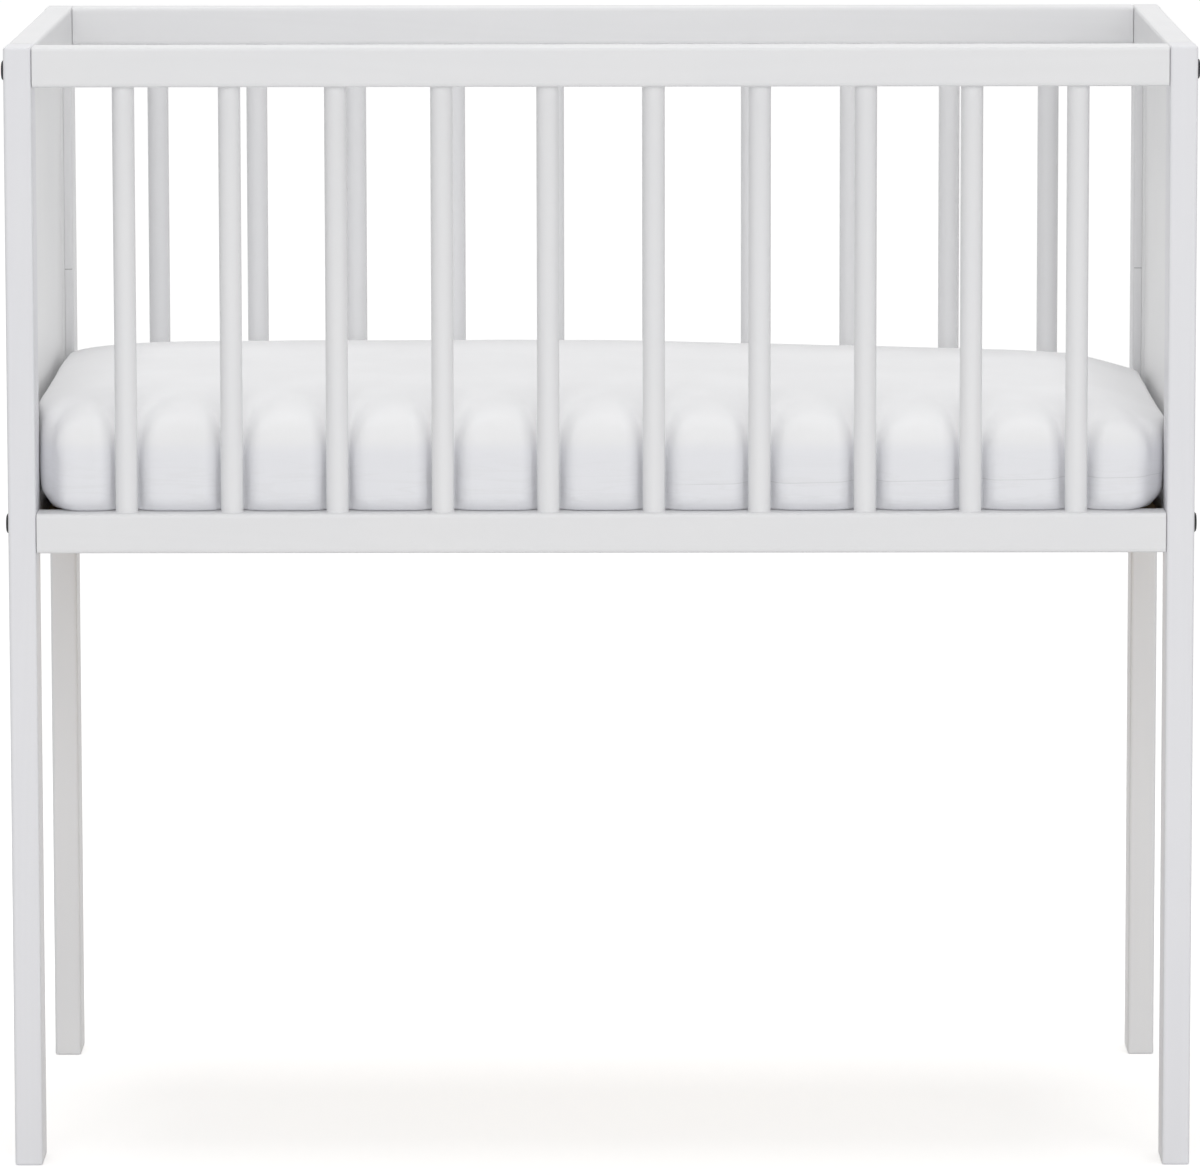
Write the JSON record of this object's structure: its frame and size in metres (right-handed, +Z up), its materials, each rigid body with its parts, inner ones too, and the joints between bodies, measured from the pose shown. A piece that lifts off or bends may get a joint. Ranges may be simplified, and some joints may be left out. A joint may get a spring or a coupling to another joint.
{
  "type": "cradle",
  "caption": "White painted wooden cradle with slatted long sides, solid panelled ends, fixed legs, a slatted base and a lift-out mattress in a fitted sheet.",
  "frame": {"origin": "on the floor under the middle of the cradle", "axes": "+Z up, +X along the cradle to the right as seen from its front, -Y towards the front"},
  "size_m": [0.8546, 0.46, 0.81],
  "materials": {
    "white_paint": "white satin paint on wood",
    "bare_pine": "planed softwood, uncoated",
    "black_steel": "black coated steel",
    "zinc_steel": "zinc plated steel",
    "white_cotton": "white cotton jersey"
  },
  "bodies": {
    "frame": {"barrel_nut_front_left_lower": "zinc_steel", "barrel_nut_front_left_upper": "zinc_steel", "barrel_nut_front_right_lower": "zinc_steel", "barrel_nut_front_right_upper": "zinc_steel", "barrel_nut_rear_left_lower": "zinc_steel", "barrel_nut_rear_left_upper": "zinc_steel", "barrel_nut_rear_right_lower": "zinc_steel", "barrel_nut_rear_right_upper": "zinc_steel", "base_batten_front": "bare_pine", "base_batten_rear": "bare_pine", "base_slat_1": "bare_pine", "base_slat_2": "bare_pine", "base_slat_3": "bare_pine", "base_slat_4": "bare_pine", "base_slat_5": "bare_pine", "base_slat_6": "bare_pine", "bolt_front_left_lower": "black_steel", "bolt_front_left_upper": "black_steel", "bolt_front_right_lower": "black_steel", "bolt_front_right_upper": "black_steel", "bolt_rear_left_lower": "black_steel", "bolt_rear_left_upper": "black_steel", "bolt_rear_right_lower": "black_steel", "bolt_rear_right_upper": "black_steel", "end_bottom_rail_left": "white_paint", "end_bottom_rail_right": "white_paint", "end_panel_left": "white_paint", "end_panel_right": "white_paint", "end_top_rail_left": "white_paint", "end_top_rail_right": "white_paint", "lower_rail_front": "white_paint", "lower_rail_rear": "white_paint", "post_front_left": "white_paint", "post_front_right": "white_paint", "post_rear_left": "white_paint", "post_rear_right": "white_paint", "slat_front_01": "white_paint", "slat_front_02": "white_paint", "slat_front_03": "white_paint", "slat_front_04": "white_paint", "slat_front_05": "white_paint", "slat_front_06": "white_paint", "slat_front_07": "white_paint", "slat_front_08": "white_paint", "slat_front_09": "white_paint", "slat_front_10": "white_paint", "slat_rear_01": "white_paint", "slat_rear_02": "white_paint", "slat_rear_03": "white_paint", "slat_rear_04": "white_paint", "slat_rear_05": "white_paint", "slat_rear_06": "white_paint", "slat_rear_07": "white_paint", "slat_rear_08": "white_paint", "slat_rear_09": "white_paint", "slat_rear_10": "white_paint", "top_rail_front": "white_paint", "top_rail_rear": "white_paint"},
    "mattress": {"mattress": "white_cotton"}
  },
  "joints": [
    {"name": "mattress_lift", "type": "slide", "parent": "frame", "child": "mattress", "axis": [0, 0, 1], "range_m": [0, 0.2]}
  ]
}
